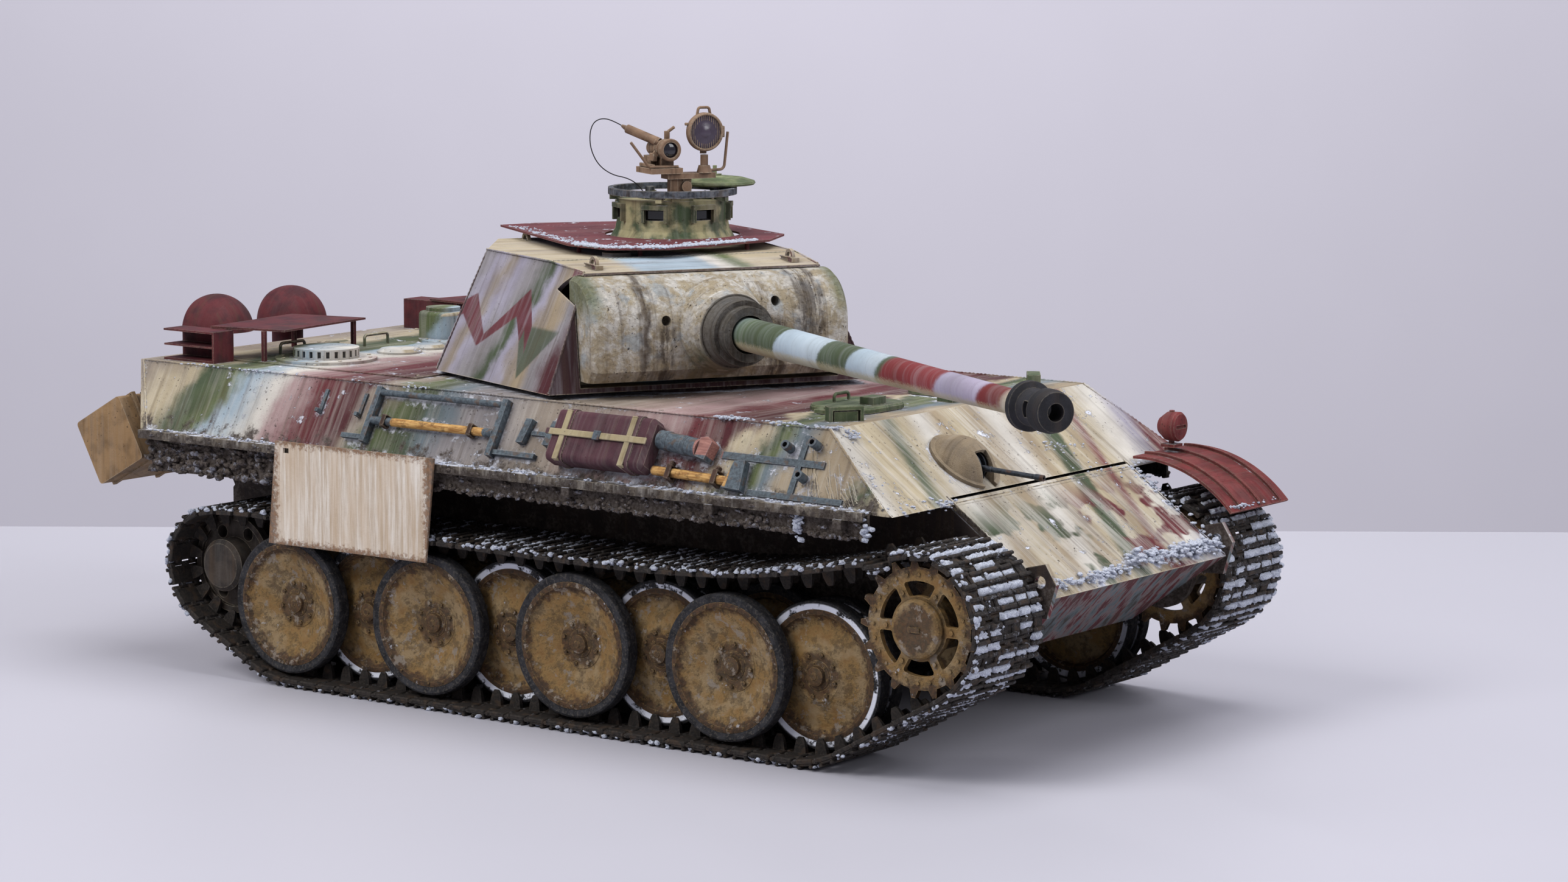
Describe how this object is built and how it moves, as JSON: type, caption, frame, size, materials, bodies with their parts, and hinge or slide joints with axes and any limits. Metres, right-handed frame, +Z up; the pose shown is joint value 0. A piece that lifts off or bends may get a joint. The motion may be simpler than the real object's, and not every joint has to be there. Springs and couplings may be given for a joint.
{
  "type": "radio-controlled tank",
  "caption": "Tracked model tank with interleaved road wheels, a turning turret with an elevating gun, a night sight on its cupola and swivel hatches.",
  "frame": {"origin": "on the ground, on the hull centreline, midway between the first and last road wheels", "axes": "+X to the front of the hull, +Y to port, +Z up"},
  "size_m": [0.5116, 0.2659, 0.2204],
  "materials": {
    "hull_paint": "worn whitewash over camouflage",
    "turret_paint": "worn whitewash over camouflage",
    "red_oxide": "matt primer",
    "wheel_paint": "muddy matt",
    "track_metal": "dirty with snow",
    "steel": "dull",
    "gun_paint": "banded camouflage",
    "muzzle_black": "matt",
    "green_paint": "matt",
    "tan_paint": "matt",
    "sight_paint": "matt",
    "skirt_paint": "streaked whitewash",
    "crate_paint": "matt",
    "black_rubber": "matt",
    "plastic_dark": "plain",
    "board_green": "plain"
  },
  "bodies": {
    "hull": {"upper_hull": "hull_paint", "lower_hull": "hull_paint", "battery_cover": "plastic_dark", "engine_deck": "hull_paint", "deck_shields": "red_oxide", "exhaust_cowls": "red_oxide", "rear_bins": "tan_paint", "fender_rails": "hull_paint", "side_skirt": "skirt_paint", "front_mudguard": "red_oxide", "headlight": "red_oxide", "ball_socket": "hull_paint", "hull_periscopes": "green_paint", "tool_rack": "steel", "hand_axe": "steel", "stowage_crate": "crate_paint", "track_right": "track_metal", "track_left": "track_metal", "swing_arms": "hull_paint", "final_drives": "hull_paint", "gear_motors": "plastic_dark", "battery_pack": "plastic_dark", "control_board": "board_green", "traverse_motor": "plastic_dark"},
    "turret": {"turret_shell": "turret_paint", "cupola": "turret_paint", "roof_shield": "red_oxide", "ir_bracket": "sight_paint", "ir_scope": "sight_paint", "ir_cord": "black_rubber"},
    "mantlet": {"mantlet": "turret_paint"},
    "gun": {"gun_barrel": "gun_paint", "muzzle_brake": "muzzle_black"},
    "cupola_hatch": {"cupola_hatch": "green_paint"},
    "ir_searchlight": {"ir_searchlight": "sight_paint"},
    "mg_ball": {"mg_ball": "steel"},
    "mg_barrel": {"mg_barrel": "steel"},
    "driver_hatch": {"driver_hatch": "turret_paint"},
    "radio_hatch": {"radio_hatch": "turret_paint"},
    "power_switch": {"power_switch": "plastic_dark"},
    "sprocket_right": {"sprocket_right": "wheel_paint"},
    "idler_right": {"idler_right": "wheel_paint"},
    "wheel_r1": {"wheel_r1": "wheel_paint"},
    "wheel_r2": {"wheel_r2": "wheel_paint"},
    "wheel_r3": {"wheel_r3": "wheel_paint"},
    "wheel_r4": {"wheel_r4": "wheel_paint"},
    "wheel_r5": {"wheel_r5": "wheel_paint"},
    "wheel_r6": {"wheel_r6": "wheel_paint"},
    "wheel_r7": {"wheel_r7": "wheel_paint"},
    "wheel_r8": {"wheel_r8": "wheel_paint"},
    "sprocket_left": {"sprocket_left": "wheel_paint"},
    "idler_left": {"idler_left": "wheel_paint"},
    "wheel_l1": {"wheel_l1": "wheel_paint"},
    "wheel_l2": {"wheel_l2": "wheel_paint"},
    "wheel_l3": {"wheel_l3": "wheel_paint"},
    "wheel_l4": {"wheel_l4": "wheel_paint"},
    "wheel_l5": {"wheel_l5": "wheel_paint"},
    "wheel_l6": {"wheel_l6": "wheel_paint"},
    "wheel_l7": {"wheel_l7": "wheel_paint"},
    "wheel_l8": {"wheel_l8": "wheel_paint"}
  },
  "joints": [
    {"name": "drive_right", "type": "hinge", "parent": "hull", "child": "sprocket_right", "pos_m": [0.1715, -0.0816, 0.055], "axis": [0, 1, 0], "continuous": true},
    {"name": "idler_spin_right", "type": "hinge", "parent": "hull", "child": "idler_right", "pos_m": [-0.16, -0.0816, 0.0425], "axis": [0, 1, 0], "continuous": true},
    {"name": "wheel_r1_spin", "type": "hinge", "parent": "hull", "child": "wheel_r1", "pos_m": [0.1225, -0.0816, 0.0315], "axis": [0, 1, 0], "continuous": true},
    {"name": "wheel_r2_spin", "type": "hinge", "parent": "hull", "child": "wheel_r2", "pos_m": [0.0875, -0.0816, 0.0315], "axis": [0, 1, 0], "continuous": true},
    {"name": "wheel_r3_spin", "type": "hinge", "parent": "hull", "child": "wheel_r3", "pos_m": [0.0525, -0.0816, 0.0315], "axis": [0, 1, 0], "continuous": true},
    {"name": "wheel_r4_spin", "type": "hinge", "parent": "hull", "child": "wheel_r4", "pos_m": [0.0175, -0.0816, 0.0315], "axis": [0, 1, 0], "continuous": true},
    {"name": "wheel_r5_spin", "type": "hinge", "parent": "hull", "child": "wheel_r5", "pos_m": [-0.0175, -0.0816, 0.0315], "axis": [0, 1, 0], "continuous": true},
    {"name": "wheel_r6_spin", "type": "hinge", "parent": "hull", "child": "wheel_r6", "pos_m": [-0.0525, -0.0816, 0.0315], "axis": [0, 1, 0], "continuous": true},
    {"name": "wheel_r7_spin", "type": "hinge", "parent": "hull", "child": "wheel_r7", "pos_m": [-0.0875, -0.0816, 0.0315], "axis": [0, 1, 0], "continuous": true},
    {"name": "wheel_r8_spin", "type": "hinge", "parent": "hull", "child": "wheel_r8", "pos_m": [-0.1225, -0.0816, 0.0315], "axis": [0, 1, 0], "continuous": true},
    {"name": "drive_left", "type": "hinge", "parent": "hull", "child": "sprocket_left", "pos_m": [0.1715, 0.0816, 0.055], "axis": [0, 1, 0], "continuous": true},
    {"name": "idler_spin_left", "type": "hinge", "parent": "hull", "child": "idler_left", "pos_m": [-0.16, 0.0816, 0.0425], "axis": [0, 1, 0], "continuous": true},
    {"name": "wheel_l1_spin", "type": "hinge", "parent": "hull", "child": "wheel_l1", "pos_m": [0.1225, 0.0816, 0.0315], "axis": [0, 1, 0], "continuous": true},
    {"name": "wheel_l2_spin", "type": "hinge", "parent": "hull", "child": "wheel_l2", "pos_m": [0.0875, 0.0816, 0.0315], "axis": [0, 1, 0], "continuous": true},
    {"name": "wheel_l3_spin", "type": "hinge", "parent": "hull", "child": "wheel_l3", "pos_m": [0.0525, 0.0816, 0.0315], "axis": [0, 1, 0], "continuous": true},
    {"name": "wheel_l4_spin", "type": "hinge", "parent": "hull", "child": "wheel_l4", "pos_m": [0.0175, 0.0816, 0.0315], "axis": [0, 1, 0], "continuous": true},
    {"name": "wheel_l5_spin", "type": "hinge", "parent": "hull", "child": "wheel_l5", "pos_m": [-0.0175, 0.0816, 0.0315], "axis": [0, 1, 0], "continuous": true},
    {"name": "wheel_l6_spin", "type": "hinge", "parent": "hull", "child": "wheel_l6", "pos_m": [-0.0525, 0.0816, 0.0315], "axis": [0, 1, 0], "continuous": true},
    {"name": "wheel_l7_spin", "type": "hinge", "parent": "hull", "child": "wheel_l7", "pos_m": [-0.0875, 0.0816, 0.0315], "axis": [0, 1, 0], "continuous": true},
    {"name": "wheel_l8_spin", "type": "hinge", "parent": "hull", "child": "wheel_l8", "pos_m": [-0.1225, 0.0816, 0.0315], "axis": [0, 1, 0], "continuous": true},
    {"name": "turret_traverse", "type": "hinge", "parent": "hull", "child": "turret", "pos_m": [-0.0207, 0, 0.12], "axis": [0, 0, 1], "continuous": true},
    {"name": "gun_elevation", "type": "hinge", "parent": "turret", "child": "mantlet", "pos_m": [0.01897, -0.02188, 0.1432], "axis": [-0.483, -0.8756, 0], "range_deg": [-8, 18]},
    {"name": "gun_recoil", "type": "slide", "parent": "mantlet", "child": "gun", "axis": [-0.8756, 0.483, 0], "range_m": [0, 0.01], "stiffness_N_per_m": 300, "springref_m": -0.005},
    {"name": "hatch_swing", "type": "hinge", "parent": "turret", "child": "cupola_hatch", "pos_m": [-0.04658, 0.04853, 0.188], "axis": [0, 0, 1], "range_deg": [-22, 75]},
    {"name": "searchlight_tilt", "type": "hinge", "parent": "turret", "child": "ir_searchlight", "pos_m": [-0.01962, 0.02887, 0.2021], "axis": [-0.483, -0.8756, 0], "range_deg": [-12, 25]},
    {"name": "mg_yaw", "type": "hinge", "parent": "hull", "child": "mg_ball", "pos_m": [0.14734, -0.0315, 0.10156], "axis": [0, 0, 1], "range_deg": [-6, 10]},
    {"name": "mg_pitch", "type": "hinge", "parent": "mg_ball", "child": "mg_barrel", "pos_m": [0.14734, -0.0315, 0.10156], "axis": [0, -1, 0], "range_deg": [-4, 8]},
    {"name": "driver_hatch_swing", "type": "hinge", "parent": "hull", "child": "driver_hatch", "pos_m": [0.097, 0.049, 0.118], "axis": [0, 0, 1], "range_deg": [-80, 0]},
    {"name": "radio_hatch_swing", "type": "hinge", "parent": "hull", "child": "radio_hatch", "pos_m": [0.097, -0.049, 0.118], "axis": [0, 0, 1], "range_deg": [0, 80]},
    {"name": "power_switch_slide", "type": "slide", "parent": "hull", "child": "power_switch", "axis": [1, 0, 0], "range_m": [0, 0.006]}
  ],
  "couplings": [
    {"joint": "idler_spin_right", "follows": "drive_right", "ratio": 1.3077},
    {"joint": "wheel_r1_spin", "follows": "drive_right", "ratio": 0.9466},
    {"joint": "wheel_r2_spin", "follows": "drive_right", "ratio": 0.9466},
    {"joint": "wheel_r3_spin", "follows": "drive_right", "ratio": 0.9466},
    {"joint": "wheel_r4_spin", "follows": "drive_right", "ratio": 0.9466},
    {"joint": "wheel_r5_spin", "follows": "drive_right", "ratio": 0.9466},
    {"joint": "wheel_r6_spin", "follows": "drive_right", "ratio": 0.9466},
    {"joint": "wheel_r7_spin", "follows": "drive_right", "ratio": 0.9466},
    {"joint": "wheel_r8_spin", "follows": "drive_right", "ratio": 0.9466},
    {"joint": "idler_spin_left", "follows": "drive_left", "ratio": 1.3077},
    {"joint": "wheel_l1_spin", "follows": "drive_left", "ratio": 0.9466},
    {"joint": "wheel_l2_spin", "follows": "drive_left", "ratio": 0.9466},
    {"joint": "wheel_l3_spin", "follows": "drive_left", "ratio": 0.9466},
    {"joint": "wheel_l4_spin", "follows": "drive_left", "ratio": 0.9466},
    {"joint": "wheel_l5_spin", "follows": "drive_left", "ratio": 0.9466},
    {"joint": "wheel_l6_spin", "follows": "drive_left", "ratio": 0.9466},
    {"joint": "wheel_l7_spin", "follows": "drive_left", "ratio": 0.9466},
    {"joint": "wheel_l8_spin", "follows": "drive_left", "ratio": 0.9466}
  ]
}
